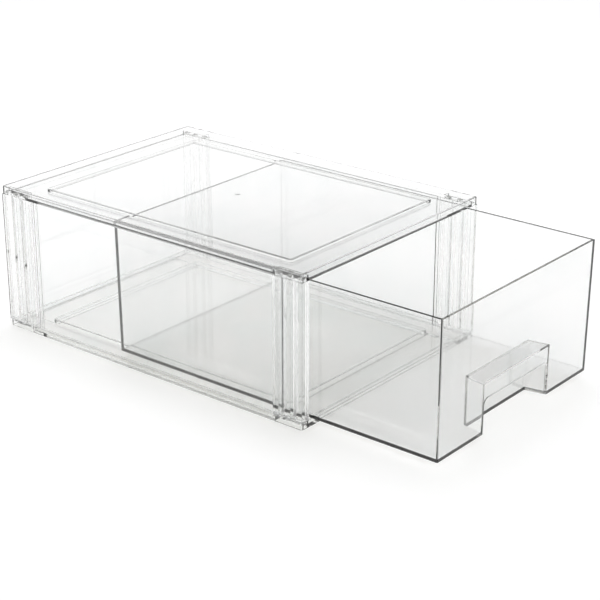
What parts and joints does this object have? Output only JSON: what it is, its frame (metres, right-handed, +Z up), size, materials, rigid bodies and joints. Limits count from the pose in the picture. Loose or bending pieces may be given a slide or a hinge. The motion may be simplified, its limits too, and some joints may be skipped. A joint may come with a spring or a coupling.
{
  "type": "desk organizer",
  "caption": "Clear plastic desk organizer: an open-fronted box casing with ribbed corner posts and a deep sliding drawer with a moulded finger pull.",
  "frame": {"origin": "centre of the casing's footprint, on the surface it stands on", "axes": "-Y is the front, where the drawer comes out, +X is to the right for someone who faces the front and +Z is up"},
  "size_m": [0.24, 0.462, 0.132],
  "materials": {
    "clear_plastic": "clear colourless polystyrene, moulded, glossy",
    "clear_drawer_plastic": "clear colourless polystyrene, moulded, glossy"
  },
  "bodies": {
    "casing": {"top_panel": "clear_plastic", "base_panel": "clear_plastic", "left_side_panel": "clear_plastic", "right_side_panel": "clear_plastic", "back_panel": "clear_plastic"},
    "drawer": {"drawer": "clear_drawer_plastic"}
  },
  "joints": [
    {"name": "drawer_slide", "type": "slide", "parent": "casing", "child": "drawer", "axis": [0, -1, 0], "range_m": [-0.123, 0.1]}
  ]
}
